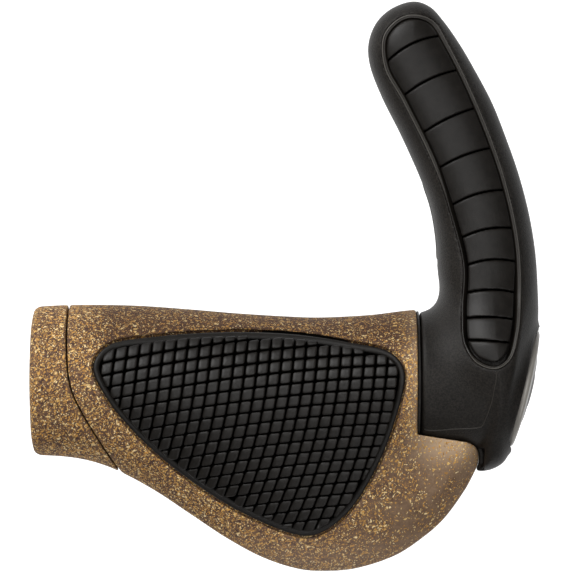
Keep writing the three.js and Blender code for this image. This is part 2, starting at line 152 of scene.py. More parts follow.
class Grid:
    """A box of sample points. A field is an array of signed distances on it."""

    def __init__(self, low, high, step):
        self.low = np.array(low, float)
        self.step = step
        self.size = np.ceil((np.array(high) - self.low) / step).astype(int) + 1
        axes = [lo + step * np.arange(n) for lo, n in zip(self.low, self.size)]
        self.x, self.y, self.z = np.meshgrid(*axes, indexing="ij", sparse=True)
        self.flat_x, self.flat_y = np.broadcast_arrays(self.x[..., 0], self.y[..., 0])
        self.axis_r = np.hypot(self.y, self.z)

    def plan(self, loop):
        """Signed distance in the XY plane to a closed outline, at every height."""
        return loop_distance(np.asarray(loop, float), self.flat_x, self.flat_y)[..., None]

    def even(self, field):
        """Scales a field so that it changes by about 1 mm per mm."""
        slope = np.sqrt(sum(g ** 2 for g in np.gradient(field, self.step)))
        return field / np.maximum(slope, 0.35)

    def sample(self, field, points):
        """The field between its grid points."""
        place = np.clip((points - self.low) / self.step, 0, self.size - 1.001)
        i = place.astype(int)
        t = place - i
        total = 0
        for corner in np.ndindex(2, 2, 2):
            c = np.array(corner)
            weight = np.prod(np.where(c, t, 1 - t), axis=1)
            total = total + weight * field[tuple((i + c).T)]
        return total

    def slopes(self, field, points):
        """The field's slope at each point, and the square of its size, kept off zero."""
        h = self.step * 0.6
        slope = [self.sample(field, points + e) - self.sample(field, points - e) for e in np.eye(3) * h]
        slope = np.stack(slope, 1) / (2 * h)
        return slope, np.maximum((slope ** 2).sum(1, keepdims=True), 0.04)

    def skin(self, field):
        """Surface nets: one vertex in each cell that the surface crosses."""
        inside = field < 0
        corners = np.array(list(np.ndindex(2, 2, 2)))
        cells = tuple(n - 1 for n in inside.shape)
        total = 0
        for corner in corners:
            block = tuple(slice(c, c + n) for c, n in zip(corner, cells))
            total = total + inside[block].astype(np.int8)
        active = (total > 0) & (total < 8)
        where = np.argwhere(active)
        index = np.full(cells, -1)
        index[active] = np.arange(len(where))
        place = np.zeros((len(where), 3))
        count = np.zeros((len(where), 1))
        for a in corners:
            for axis in range(3):
                if a[axis]:
                    continue
                b = a + np.eye(3, dtype=int)[axis]
                fa, fb = field[tuple((where + a).T)], field[tuple((where + b).T)]
                crossed = (fa < 0) != (fb < 0)
                t = np.where(crossed, fa / np.where(crossed, fa - fb, 1), 0)[:, None]
                place += crossed[:, None] * (a + (b - a) * t)
                count += crossed[:, None]
        points = self.low + (where + place / count) * self.step
        faces = []
        for axis in range(3):
            u, v = (axis + 1) % 3, (axis + 2) % 3
            first = np.take(inside, range(inside.shape[axis] - 1), axis)
            second = np.take(inside, range(1, inside.shape[axis]), axis)
            edges = np.argwhere(first != second)
            edges = edges[(edges[:, u] > 0) & (edges[:, v] > 0)]
            edges = edges[(edges[:, u] < cells[u]) & (edges[:, v] < cells[v])]
            du, dv = np.eye(3, dtype=int)[[u, v]]
            quad = [index[tuple((edges - s).T)] for s in (du + dv, dv, 0 * du, du)]
            quad = np.stack(quad, 1)
            outward = first[tuple(edges.T)]
            faces.append(np.where(outward[:, None], quad, quad[:, ::-1]))
        return self.settle(field, points), np.concatenate(faces)

    def settle(self, field, points):
        """Points near the field's surface, moved onto it in a few short moves."""
        for _ in range(4):
            slope, square = self.slopes(field, points)
            move = self.sample(field, points)[:, None] * slope / square
            points = points - np.clip(move, -0.5 * self.step, 0.5 * self.step)
        return points


def bands(rings, count, start=0, closed=True):
    """Faces between rings of count points each; start is the number of the first point."""
    faces = []
    for ring in range(rings - 1):
        a = start + ring * count
        b = a + count
        for i in range(count if closed else count - 1):
            j = (i + 1) % count
            faces.append((a + i, a + j, b + j, b + i))
    return faces


def fan(ring, count, tip):
    """Faces between a ring of points and the point at its middle."""
    return [(ring + i, ring + (i + 1) % count, tip) for i in range(count)]


def piece(name, points, faces, body, slot, material, *nodes):
    """A mesh object from millimetre points, riding on a body and standing for CAD nodes."""
    mesh = bpy.data.meshes.new(name)
    mesh.from_pydata((np.asarray(points) * MM).tolist(), [], [list(map(int, f)) for f in faces])
    mesh.update()
    mesh.shade_smooth()
    mesh.materials.append(material)
    made = bpy.data.objects.new(name, mesh)
    bpy.context.collection.objects.link(made)
    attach(made, body)
    if nodes:
        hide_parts(*nodes)
    return made


def upward_faces(made):
    """Turns a piece's faces so that they look upwards on average."""
    if sum(p.normal.z * p.area for p in made.data.polygons) < 0:
        made.data.flip_normals()


# ---------------------------------------------------------------- node materials

class Look:
    """A material with a Principled shader and short calls for its nodes."""

    def __init__(self, name, color, roughness, **values):
        self.material = bpy.data.materials.new(name)
        self.material.use_nodes = True
        self.tree = self.material.node_tree
        self.shader = self.tree.nodes["Principled BSDF"]
        self.shader.inputs["Base Color"].default_value = (*color, 1)
        self.shader.inputs["Roughness"].default_value = roughness
        for key, value in values.items():
            self.shader.inputs[key.replace("_", " ")].default_value = value
        self.place = self.node("ShaderNodeTexCoord").outputs["Object"]

    def node(self, kind, **values):
        """A new node, with its own settings and its sockets set by name."""
        made = self.tree.nodes.new(kind)
        for key, value in values.items():
            if hasattr(made, key):
                setattr(made, key, value)
            else:
                self.set(made.inputs[key.replace("_", " ")], value)
        return made

    def set(self, socket, value):
        """Links another node's output to a socket, or gives the socket a fixed value."""
        if hasattr(value, "is_output"):
            self.tree.links.new(value, socket)
        else:
            socket.default_value = value

    def noise(self, size, detail=2):
        """Smooth random values from 0 to 1, with blotches of about the given millimetres."""
        made = self.node("ShaderNodeTexNoise", Scale=1 / (size * MM), Detail=detail)
        self.set(made.inputs["Vector"], self.place)
        return made.outputs[0]

    def grains(self, size, place=None):
        """Cells of about the given millimetres, each with its own random colour."""
        made = self.node("ShaderNodeTexVoronoi", Scale=1 / (size * MM))
        self.set(made.inputs["Vector"], place or self.place)
        return made

    def math(self, operation, a, b):
        made = self.node("ShaderNodeMath", operation=operation)
        self.set(made.inputs[0], a)
        self.set(made.inputs[1], b)
        return made.outputs[0]

    def times(self, a, b):
        return self.math("MULTIPLY", a, b)

    def ramp(self, value, *stops):
        """A value turned into a colour or a number by stops of place and colour."""
        made = self.node("ShaderNodeValToRGB")
        band = made.color_ramp
        while len(band.elements) < len(stops):
            band.elements.new(0.5)
        for element, (place, color) in zip(band.elements, stops):
            element.position = place
            element.color = (*color, 1) if isinstance(color, tuple) else (color, color, color, 1)
        self.set(made.inputs[0], value)
        return made.outputs[0]

    def mix(self, share, a, b, blend="MIX"):
        """Colour a at share 0, colour b at share 1."""
        made = self.node("ShaderNodeMix", data_type="RGBA", blend_type=blend)
        self.set(made.inputs["Factor"], share)
        for socket, value in ((made.inputs[6], a), (made.inputs[7], b)):
            self.set(socket, (*value, 1) if isinstance(value, tuple) else value)
        return made.outputs[2]

    def axis(self, name):
        """One of the surface's own coordinates, in metres."""
        split = self.node("ShaderNodeSeparateXYZ")
        self.set(split.inputs[0], self.place)
        return split.outputs[name]

    def color(self, value):
        self.set(self.shader.inputs["Base Color"], value)

    def bump(self, height, distance, strength):
        """Bump of the given millimetres; further calls add to it."""
        made = self.node("ShaderNodeBump", Strength=strength, Distance=distance * MM)
        self.set(made.inputs["Height"], height)
        before = self.shader.inputs["Normal"].links
        if before:
            self.set(made.inputs["Normal"], before[0].from_socket)
        self.set(self.shader.inputs["Normal"], made.outputs[0])


def bent_place(look, sideways):
    """Coordinates bent by noise of the given millimetres, so that grains become irregular flakes."""
    bend = look.noise(0.9).node
    scaled = look.node("ShaderNodeVectorMath", operation="SCALE")
    look.set(scaled.inputs[0], bend.outputs["Color"])
    look.set(scaled.inputs["Scale"], sideways * MM)
    total = look.node("ShaderNodeVectorMath", operation="ADD")
    look.set(total.inputs[0], look.place)
    look.set(total.inputs[1], scaled.outputs[0])
    return total.outputs[0]


# Flake layers: size in mm, the way they lie in radians, and the share of cells that hold a flake.
FLAKE_LAYERS = [(0.62, 0.3, 0.22), (0.48, 1.4, 0.28), (0.38, 2.5, 0.34), (0.3, 0.9, 0.36), (0.23, 2.0, 0.34)]
FLAKE_STRETCH = (1.9, 0.85, 1.2)
FLAKE_REACH = 0.36  # a flake fills its cell out to this distance, as a share of the cell
FLAKE_EDGE = 0.08  # and fades out over this much more
FLAKE_TINTS = [
    (0.0, (0.3, 0.155, 0.055)), (0.3, (0.5, 0.28, 0.085)), (0.55, (0.58, 0.29, 0.065)),
    (0.75, (0.7, 0.46, 0.16)), (0.95, (0.92, 0.73, 0.4)),
]
BROWN_TINTS = [(0.32, (0.066, 0.036, 0.028)), (0.5, (0.125, 0.072, 0.05)), (0.68, (0.19, 0.108, 0.058))]
OLIVE_TINTS = [(0.3, (0.2, 0.128, 0.076)), (0.7, (0.28, 0.186, 0.118))]


def flakes(look, place, size, turn, share):
    """A layer of long flakes that lie one way. Gives the layer's mask and a random number for each flake."""
    lay = look.node("ShaderNodeMapping", vector_type="TEXTURE")
    lay.inputs["Rotation"].default_value = (0.4 * turn, -0.3 * turn, turn)
    lay.inputs["Scale"].default_value = FLAKE_STRETCH
    look.set(lay.inputs["Vector"], place)
    cells = look.grains(size, lay.outputs[0])
    random = look.node("ShaderNodeSeparateColor")
    look.set(random.inputs[0], cells.outputs["Color"])
    chosen = look.math("LESS_THAN", random.outputs[0], share)
    near = look.ramp(cells.outputs["Distance"], (FLAKE_REACH, 1.0), (FLAKE_REACH + FLAKE_EDGE, 0.0))
    return look.times(chosen, near), random.outputs[1]


def smooth_step(look, value, low, high):
    """0 where a coordinate is below low, 1 where it is above high, both in millimetres."""
    made = look.node("ShaderNodeMapRange", interpolation_type="SMOOTHSTEP")
    look.set(made.inputs["Value"], value)
    made.inputs["From Min"].default_value = low * MM
    made.inputs["From Max"].default_value = high * MM
    return made.outputs[0]


def cork_look():
    """Golden cork flakes in purple-brown rubber, with calmer olive patches towards the wing's outer end."""
    look = Look("cork_rubber", (0.25, 0.15, 0.08), 0.75, Specular_IOR_Level=0.1)
    bent = bent_place(look, 0.9)
    outwards, forwards = look.axis("X"), look.axis("Y")
    backwards = look.times(forwards, -1)
    wing_tip = look.times(smooth_step(look, outwards, 62, 88), smooth_step(look, backwards, 8, 22))
    patch = look.ramp(look.noise(6, detail=3), (0.36, 0.35), (0.56, 1.0))
    calm = look.times(wing_tip, patch)
    # Towards the front top the cork has fewer flakes and is darker, partly its own browner tone and partly
    # painted shade.
    front_brown_and_shade = look.times(smooth_step(look, forwards, 5, 11), smooth_step(look, outwards, 8, 20))
    quiet = look.math("MAXIMUM", look.times(calm, 0.9), look.times(front_brown_and_shade, 0.3))
    busy = look.math("SUBTRACT", 1.0, quiet)
    ground = look.ramp(look.noise(0.8, detail=4), *BROWN_TINTS)
    olive = look.ramp(look.noise(0.45, detail=4), *OLIVE_TINTS)
    brown = look.mix(look.times(front_brown_and_shade, 0.7), ground, (0.062, 0.033, 0.022))
    base = look.mix(look.times(calm, 0.85), brown, olive)
    # Painted light: the wing's edge beside the hub is lightened.
    painted_light_by_hub = look.times(smooth_step(look, outwards, 80, 91), smooth_step(look, forwards, -21, -13))
    base = look.mix(look.times(painted_light_by_hub, 0.9), base, (0.56, 0.4, 0.26))
    for size, turn, share in FLAKE_LAYERS:
        mask, random = flakes(look, bent, size, turn, look.times(busy, share))
        base = look.mix(mask, base, look.ramp(random, *FLAKE_TINTS))
    # Painted sheen: the wing's rear edge is paled and greyed.
    painted_sheen_rear = smooth_step(look, backwards, 30, 42)
    base = look.mix(look.times(painted_sheen_rear, 0.3), base, (0.42, 0.31, 0.23))
    # The front top darkened once more, partly browner cork and partly painted shade.
    look.color(look.mix(look.times(front_brown_and_shade, 0.4), base, (0.05, 0.028, 0.018)))
    look.bump(look.noise(0.4, detail=4), 0.1, 0.6)
    look.bump(look.noise(1.6), 0.1, 0.5)
    return look.material


LIT_ATTRIBUTE = "lit_share"  # a number on each vertex for painted light and shade: 1 where the surface is painted lit, 0 for painted shade deep in the grooves


def paint_light_and_shade(made, shares):
    """Writes a lit share on each vertex of a piece, for painted light and shade."""
    lit_share = made.data.attributes.new(LIT_ATTRIBUTE, "FLOAT", "POINT")
    lit_share.data.foreach_set("value", np.asarray(shares, np.float32))


def painted_lit_share(look):
    """The lit share at each place on the surface, which paints light and shade."""
    return look.node("ShaderNodeAttribute", attribute_name=LIT_ATTRIBUTE).outputs["Fac"]


def rubber_look():
    """Matte black rubber, with painted shade down in its grooves."""
    look = Look("pad_rubber", (0.0085, 0.0075, 0.0068), 0.44)
    dust = look.noise(1.6, detail=5)
    lit_share = painted_lit_share(look)
    tone = look.ramp(dust, (0.3, (0.0058, 0.0047, 0.0037)), (0.75, (0.011, 0.0093, 0.0077)))
    # Painted shade: near black where the lit share falls in the grooves, with its reflection lowered there
    # too.
    look.color(look.mix(lit_share, (0.001, 0.0009, 0.0008), tone))
    look.set(look.shader.inputs["Specular IOR Level"], look.times(lit_share, 0.22))
    look.bump(look.noise(0.2, detail=3), 0.05, 0.75)
    return look.material


def nylon_look():
    """Finely grained black nylon with faint cloudy tones."""
    look = Look("grained_nylon", (0.02, 0.0175, 0.016), 0.52, Specular_IOR_Level=0.2)
    clouds = look.noise(7, detail=4)
    tone = look.ramp(clouds, (0.3, (0.0135, 0.011, 0.0086)), (0.7, (0.0215, 0.0182, 0.0152)))
    speck = look.ramp(look.noise(0.4, detail=3), (0.35, 0.3), (0.65, 1.0))
    look.color(look.mix(1.0, tone, speck, "MULTIPLY"))
    look.bump(look.grains(0.26).outputs["Distance"], 0.06, 0.8)
    look.bump(look.noise(0.5, detail=3), 0.04, 0.6)
    return look.material


def edge_look():
    """The nylon of fine raised lines, with a painted highlight where they stand proud and painted shade
    lower down.
    """
    look = Look("edges_painted_highlight", (0.02, 0.017, 0.014), 0.45, Specular_IOR_Level=0.3)
    # Painted highlight where the lit share is 1, painted shade where it is 0.
    look.color(look.mix(painted_lit_share(look), (0.011, 0.009, 0.007), (0.075, 0.068, 0.058)))
    look.bump(look.noise(0.5, detail=3), 0.02, 0.5)
    return look.material


def cap_look():
    """The end cap's dark satin plastic."""
    look = Look("satin_cap", (0.06, 0.054, 0.049), 0.36, Specular_IOR_Level=0.5)
    look.bump(look.noise(0.35), 0.01, 0.4)
    return look.material


def trim_look():
    """The cap's lighter rim."""
    look = Look("satin_trim", (0.26, 0.245, 0.22), 0.4, Metallic=0.1)
    look.bump(look.noise(0.35), 0.01, 0.4)
    return look.material


def alloy_look():
    """The clamp band's bead-blasted aluminium."""
    look = Look("blasted_alloy", (0.62, 0.63, 0.64), 0.42, Metallic=1.0)
    look.bump(look.noise(0.2, detail=3), 0.03, 0.6)
    return look.material


def steel_look():
    """The screw's and the washer's black steel."""
    look = Look("black_oxide_steel", (0.09, 0.09, 0.095), 0.34, Metallic=1.0)
    look.bump(look.noise(0.4, detail=3), 0.015, 0.5)
    return look.material


CORK, RUBBER, NYLON = cork_look(), rubber_look(), nylon_look()
EDGE, CAP = edge_look(), cap_look()
TRIM, ALLOY, STEEL = trim_look(), alloy_look(), steel_look()


# ---------------------------------------------------------------- the grip's outer form

grip_front = curve_through([
    (0, 16.4), (8, 16.8), (22, 16.7), (34, 15.9), (46, 14.9), (60, 14.1), (66, 14.1), (75, 14.6),
    (CORK_END, 15.75), (WING_END, 16),
])
grip_rear = curve_through([
    (0, 16.5), (8, 17), (13.6, 18.1), (19, 20.1), (27, 24.4), (35, 29.7), (43, 35), (51, 39.3),
    (59, 41.9), (65.5, 42.35), (72, 41.7), (80, 39.1), (CORK_END, 36), (91, 31), (95.8, 24.5),
    (98.35, 19.6), (WING_END, 17.6),
])
grip_top = curve_through([(0, 16.6), (20, 16.5), (45, 15.6), (65, 15.2), (CORK_END, 15.75)])
grip_bottom = curve_through([(0, 16.6), (20, 16.3), (45, 15.2), (65, 14.9), (CORK_END, 15.75)])
wing_share = curve_through([(0, 0), (8, 0), (30, 0.45), (58, 1), (WING_END, 1)])
wing_shoulder = curve_through([(58, 0.8), (74, 0.76), (88, 0.6), (WING_END, 0.62)])
wing_slope = curve_through([(58, 0.43), (74, 0.41), (88, 0.38), (WING_END, 0.38)])
END_ROUND = 2.0  # rounding of the grip's inner end
WING_ROUND_FROM = 94.5  # from here the wing thins out towards its end
WING_END_PAST = 0.6  # and would come to nothing this far past it
WING_MID_Z = 2.0


def grip_loop(x):
    """The grip's outline across the handlebar, as y and z."""
    edge = END_ROUND - math.sqrt(END_ROUND ** 2 - (END_ROUND - max(x, 0)) ** 2) if x < END_ROUND else 0
    thinning = min(0.999, max(0, (x - WING_ROUND_FROM) / (WING_END + WING_END_PAST - WING_ROUND_FROM)))
    flatten = math.sqrt(1 - thinning ** 2)
    wing = wing_share(x)
    # Each corner is y and z on the round part, then y and z on the wing, as shares of the half sizes.
    shares = [
        (1, 0, 1, 0), (0.72, 0.7, 0.74, 0.7), (0, 1, 0, 1), (-0.7, 0.71, -0.42, wing_shoulder(x)),
        (-0.92, 0.38, -0.8, wing_slope(x)), (-1, 0, -1, 0.03), (-0.92, -0.38, -0.86, -0.26),
        (-0.71, -0.7, -0.5, -0.41), (-0.38, -0.925, -0.24, -0.8), (0, -1, 0, -1), (0.72, -0.7, 0.72, -0.7),
    ]
    corners = []
    for round_y, round_z, wing_y, wing_z in shares:
        y = round_y + (wing_y - round_y) * wing
        z = round_z + (wing_z - round_z) * wing
        y *= (grip_front(x) if round_y > 0 else grip_rear(x)) - edge
        z *= (grip_top(x) if round_z > 0 else grip_bottom(x)) - edge
        corners.append((y, WING_MID_Z + (z - WING_MID_Z) * flatten))
    return smooth_loop(corners, 66)


def grip_field(grid):
    """The grip's outer form, without its bore, recesses and seam."""
    layers = []
    y, z = np.broadcast_arrays(grid.y[0], grid.z[0])
    for x in grid.x[:, 0, 0]:
        beyond = max(0, x - WING_END, -x)
        layers.append(loop_distance(grip_loop(min(max(x, 0), WING_END)), y, z) + beyond)
    return grid.even(np.stack(layers))


SEAM_HALF = 0.15  # half the seam's width
SEAM_X = 7.8  # where the seam lies in front
SEAM_Y = -1.7  # behind this it leans outwards
SEAM_LEAN = 0.31
SEAM_BEND = 5  # how gently it starts to lean


def seam_x(y):
    """Where the collar meets the main cork."""
    behind = SEAM_Y - y
    return SEAM_X + SEAM_LEAN * (behind + np.hypot(behind, SEAM_BEND))


PALM_OUTLINE = [
    (13.8, 3.8), (17, 8.3), (28, 10.4), (43.5, 11.4), (58, 10.9), (70, 9.1), (79.5, 6.7), (82.4, 2.6),
    (80.8, -7.5), (76, -20), (69, -30.3), (61.5, -34.6), (50, -31.2), (37, -23.7), (25, -13.8),
    (16.6, -3.6),
]
WING_PLATE = [
    (20, -8), (30, -17), (46, -28.5), (62, -34.5), (76, -32), (86, -25), (92.5, -18), (92, -15.8),
    (84, -11), (60, -9), (36, -7),
]
HUB_ROOM = [
    (CORK_END, -11.6), (96.6, -13.45), (97.6, -13.8), (98.3, -14.7), (98.7, -15.9), (98.95, -17.2),
    (99.0, -18.6), (108, -18.6), (108, 30), (CORK_END, 30),
]
PLATE_MID_Z = 1.5
PLATE_HALF = 1.4
palm_loop = smooth_loop(PALM_OUTLINE, 160)

grip_grid = Grid((-2, -45, -19), (101, 19, 19), STEP)
grip_form = grip_field(grip_grid)


def cork_pieces():
    """The main cork shell with its palm wing, and the collar beyond the seam."""
    g = grip_grid
    recess = meet(overlap(g.plan(palm_loop), TOP_FROM - g.z), -(grip_form + PAD_DEPTH), 0.3)
    plate = g.plan(smooth_loop(WING_PLATE, 60)) - GAP
    turning = overlap(g.axis_r - HUB_R - GAP, CORK_END - g.x)
    seam = (g.x - seam_x(g.y)) / np.hypot(1, 0.5)
    sleeve = meet(grip_form, SLEEVE_R + GAP - g.axis_r)
    shell = meet(sleeve, SEAM_HALF - seam, 0.3)
    shell = cut(cut(cut(shell, recess, 0.35), g.plan(HUB_ROOM), 0.35), turning, 0.3)
    shell = sharp_cut(shell, plate, abs(g.z - PLATE_MID_Z) - PLATE_HALF)
    collar = meet(meet(sleeve, seam + SEAM_HALF, 0.3), -g.x, 0.4)
    piece("cork_shell_skin", *g.skin(shell), "grip", "cork_rubber", CORK, "cork_shell")
    piece("inner_collar_skin", *g.skin(collar), "grip", "cork_rubber", CORK, "inner_collar")


# ---------------------------------------------------------------- the palm pad and its raised blocks

class TopSheet:
    """Heights of a field's upper surface over the XY plane."""

    def __init__(self, grid, field):
        self.grid = grid
        self.field = field
        heights = grid.z[0, 0]
        inside = field < 0
        last = len(heights) - 1
        top = np.clip(last - np.argmax(inside[:, :, ::-1], axis=2), 0, last - 1)
        rows, columns = np.indices(top.shape)
        below, above = field[rows, columns, top], field[rows, columns, top + 1]
        share = np.clip(below / np.where(below == above, 1, below - above), 0, 1)
        self.z = np.where(inside.any(2), heights[top] + share * (heights[1] - heights[0]), 0)

    def lift(self, xy, height):
        """Points over XY, moved out along the surface's normal."""
        g = self.grid
        place = (xy - g.low[:2]) / g.step
        i = place.astype(int)
        t = place - i
        z = 0
        for a, b in np.ndindex(2, 2):
            weight = np.where(a, t[:, 0], 1 - t[:, 0]) * np.where(b, t[:, 1], 1 - t[:, 1])
            z = z + weight * self.z[i[:, 0] + a, i[:, 1] + b]
        points = np.column_stack([xy, z])
        slope, square = g.slopes(self.field, points)
        normal = slope / np.linalg.norm(slope, axis=1, keepdims=True).clip(1e-6)
        points = points - g.sample(self.field, points)[:, None] * slope / square
        return points + normal * np.broadcast_to(np.asarray(height, float), len(xy))[:, None]


def inward(loop, distance):
    """A loop moved inwards, by one distance or by one for each of its points."""
    along = np.roll(loop, -1, axis=0) - np.roll(loop, 1, axis=0)
    along /= np.linalg.norm(along, axis=1, keepdims=True)
    x, y = loop.T
    turn = np.sign(np.sum(x * np.roll(y, -1) - y * np.roll(x, -1)))
    return loop + turn * np.column_stack([-along[:, 1], along[:, 0]]) * np.reshape(distance, (-1, 1))


def clipped(polygon, loop):
    """The part of a convex polygon that lies inside a convex loop that runs clockwise."""
    out = list(polygon)
    for a, b in zip(loop, np.roll(loop, -1, axis=0)):
        side = [(b[0] - a[0]) * (p[1] - a[1]) - (b[1] - a[1]) * (p[0] - a[0]) for p in out]
        kept = []
        for i, p in enumerate(out):
            q, s, t = out[i - 1], side[i], side[i - 1]
            if (s <= 0) != (t <= 0):
                kept.append(q + (p - q) * t / (t - s))
            if s <= 0:
                kept.append(p)
        out = kept
        if not out:
            break
    return np.array(out)


def rounded(polygon, radius):
    """A polygon with each corner rounded by a short curve of four points."""
    out = []
    for before, corner, after in zip(np.roll(polygon, 1, axis=0), polygon, np.roll(polygon, -1, axis=0)):
        first, second = before - corner, after - corner
        reach = min(radius, 0.45 * np.linalg.norm(first), 0.45 * np.linalg.norm(second))
        a = corner + first / np.linalg.norm(first) * reach
        b = corner + second / np.linalg.norm(second) * reach
        for t in np.linspace(0, 1, 4):
            out.append(a * (1 - t) ** 2 + corner * 2 * t * (1 - t) + b * t * t)
    return np.array(out)


BLOCK_WIDTH = 2.56
BLOCK_DEPTH = 2.47
BLOCK_START = (78.53, 6.02)  # a corner near the pad's front outer end: columns and rows are counted from it
BLOCK_COLUMNS = range(-4, 30)
BLOCK_ROWS = range(-4, 18)
BLOCK_GROOVE = 0.062  # half a groove, as a share of a block
BLOCK_ROUND = 0.55
BLOCK_LEAST_AREA = 1.2  # smaller leftovers at the border are left out
BLOCK_LEAST_WIDTH = 0.4
BLOCK_HEIGHT = 0.7
BLOCK_CROWN = (0.03, 0.04)  # how much more halfway in, and in the middle
BLOCK_FLOOR = 0.55  # the grooves' floor lies this far below the pad's border
BLOCK_TILT = 0.11  # each block's top rises outwards and towards the back
PAD_BORDER = 1.65
# Rings of a block: how far inside its outline, height below its top, share of its height, and lit share,
# where 0 paints shade at the block's foot.
BLOCK_RINGS = [(-0.04, -0.65, 0, 0), (0.0, -0.25, 1, 0.5), (0.07, -0.08, 1, 1), (0.22, 0, 1, 1)]
# Rings of the pad's base: how far inside the pad's edge, height over the cork, and lit share, where 0 paints
# shade on the grooves' floor.
BASE_RINGS = [
    (0, -1.2, 0.3), (0, -0.5, 0.5), (0.06, -0.24, 1), (0.2, -0.06, 1), (0.4, 0.0, 1), (1.25, 0.0, 1),
    (1.4, -BLOCK_FLOOR, 0),
]
BASE_STEPS = 30  # from the last of those rings to the middle


def block_corner(column, row):
    """A corner of the block lattice: columns lean more towards the back, rows fall towards the inner end."""
    inwards, down = BLOCK_WIDTH * column, BLOCK_DEPTH * row
    lean = (0.05 + 0.0017 * inwards) * down + 0.0065 * max(down, 0) ** 2
    x = BLOCK_START[0] - inwards * (1 + 0.0005 * inwards) - lean
    inwards = BLOCK_START[0] - x
    y = BLOCK_START[1] - down * (1 + 0.0015 * inwards) - 0.03 * inwards - 0.0014 * inwards ** 2
    return np.array([x, y])


def block_outlines():
    """The outlines of the pad's blocks, cut off at its border."""
    border = inward(palm_loop, PAD_BORDER)[::4]
    low, high = BLOCK_GROOVE, 1 - BLOCK_GROOVE
    for column in BLOCK_COLUMNS:
        for row in BLOCK_ROWS:
            corners = [(low, low), (low, high), (high, high), (high, low)]
            shape = np.array([block_corner(column + a, row + b) for a, b in corners])
            shape = clipped(shape, border)
            if len(shape) < 3:
                continue
            x, y = shape.T
            sides = np.linalg.norm(shape - np.roll(shape, 1, axis=0), axis=1)
            area = abs(np.sum(x * np.roll(y, -1) - y * np.roll(x, -1))) / 2
            if area > BLOCK_LEAST_AREA and 2 * area / sides.sum() > BLOCK_LEAST_WIDTH:
                yield rounded(shape[sides > 0.12], BLOCK_ROUND)


def pad_base(sheet):
    """A sunk wall, a rounded border and a lower floor. Gives rings of points, faces and lit shares, with
    painted shade on the floor.
    """
    loop = inward(palm_loop, GAP)
    centre = loop.mean(0)
    count = len(loop)
    points = [sheet.lift(inward(loop, distance), height) for distance, height, _ in BASE_RINGS]
    inner = inward(loop, BASE_RINGS[-1][0])
    for k in range(1, BASE_STEPS):
        points.append(sheet.lift(inner + (centre - inner) * k / BASE_STEPS, -BLOCK_FLOOR))
    rings = len(points)
    points.append(sheet.lift(centre[None], -BLOCK_FLOOR))
    faces = bands(rings, count) + fan((rings - 1) * count, count, rings * count)
    shares = [lit_share for _, _, lit_share in BASE_RINGS] + [0] * (rings - len(BASE_RINGS))
    return points, faces, np.repeat(shares, count).tolist() + [0]


def pad_block(sheet, outline, start):
    """One raised block, whose first point has the number start. Gives the same as pad_base."""
    middle = outline.mean(0)
    count = len(outline)
    tilt = BLOCK_TILT * ((outline - middle) @ (1, -1))
    points = []
    for distance, height, share, _ in BLOCK_RINGS:
        points.append(sheet.lift(inward(outline, distance), (BLOCK_HEIGHT + tilt) * share + height))
    points.append(sheet.lift(outline + (middle - outline) * 0.5, BLOCK_HEIGHT + BLOCK_CROWN[0] + tilt / 2))
    rings = len(points)
    points.append(sheet.lift(middle[None], BLOCK_HEIGHT + BLOCK_CROWN[1]))
    top = start + (rings - 1) * count
    faces = bands(rings, count, start) + fan(top, count, top + count)
    shares = [lit_share for _, _, _, lit_share in BLOCK_RINGS] + [1]
    return points, faces, np.repeat(shares, count).tolist() + [1]


def palm_pad():
    """The rubber inlay on the palm wing: a base with rows of slanted blocks."""
    sheet = TopSheet(grip_grid, grip_form)
    points, faces, lit_share = pad_base(sheet)
    for outline in block_outlines():
        more_points, more_faces, more_lit_share = pad_block(sheet, outline, len(lit_share))
        points += more_points
        faces += more_faces
        lit_share += more_lit_share
    made = piece("palm_pad_blocks", np.concatenate(points), faces, "grip", "pad_rubber", RUBBER, "palm_pad")
    # Painted shade on the grooves' floor and at the blocks' feet, through the lit share.
    paint_light_and_shade(made, lit_share)
    upward_faces(made)


# ---------------------------------------------------------------- the bar end's outer form

HORN_OUTLINE = [
    (84.6, 84.2), (79.6, 82.6), (76.2, 79.4), (74.5, 74.8), (74.8, 70.2), (77.3, 63.4), (81.6, 54.8),
    (85.3, 46.6), (88.2, 38.8), (89.5, 31.5), (89.9, 24.5), (91.2, 16), (92.8, 8), (95.4, 1),
    (98.2, -5.5), (98.3, -12), (98.62, -15.2), (98.84, -16.1), (99.0, -17.1), (98.97, -17.9),
    (98.77, -18.7), (98.5, -19.5), (98.55, -19.85), (98.95, -20.05), (100.6, -20), (102.6, -19.4),
    (104.6, -18), (105.8, -15.6), (107, -10), (108.2, -5), (109.5, 0),
    (110.8, 5.5), (111.8, 10.3), (112.2, 14.5), (112.1, 20), (111.7, 27), (110.9, 33), (109.7, 39),
    (107.8, 46), (105.2, 53.5), (102, 61.6), (98.1, 69), (94.9, 74.5), (91.2, 79.8), (88.2, 83),
]
half_width = curve_through([
    (-20, 4), (-12, 5), (-6, 6.5), (0, 8.5), (8, 10.5), (17, 11.6), (28, 11.1), (50, 10.6), (64, 10.4),
    (74, 9.7), (84, 9.4),
])
half_thickness = curve_through([
    (-20, 6.5), (-15, 9), (-10, 12.6), (-5, 15.2), (0, 16.6), (4, 17), (8, 16.5), (12, 15.2), (17, 13.2),
    (22, 11.8), (28, 10.9), (36, 10.3), (50, 9.8), (64, 9.3), (74, 8.7), (84, 8.2),
])
OVAL_POWER = 2.35  # how square the horn's cross section is; 2 would be an ellipse
HUB_OUTER_END = 104
FILLET_BACK = 0.8  # fillet between horn and hub, behind the handlebar
FILLET_MORE = 6.7  # how much wider it is in front
FILLET_FROM = -9  # it widens from this y
FILLET_OVER = 14  # over this distance
BOSS_WALL = 0.2  # the boss round the end cap: its wall, depth, rounding and fillet to the hub
BOSS_DEPTH = 9
BOSS_ROUND = 0.8
BOSS_FILLET = 3.0

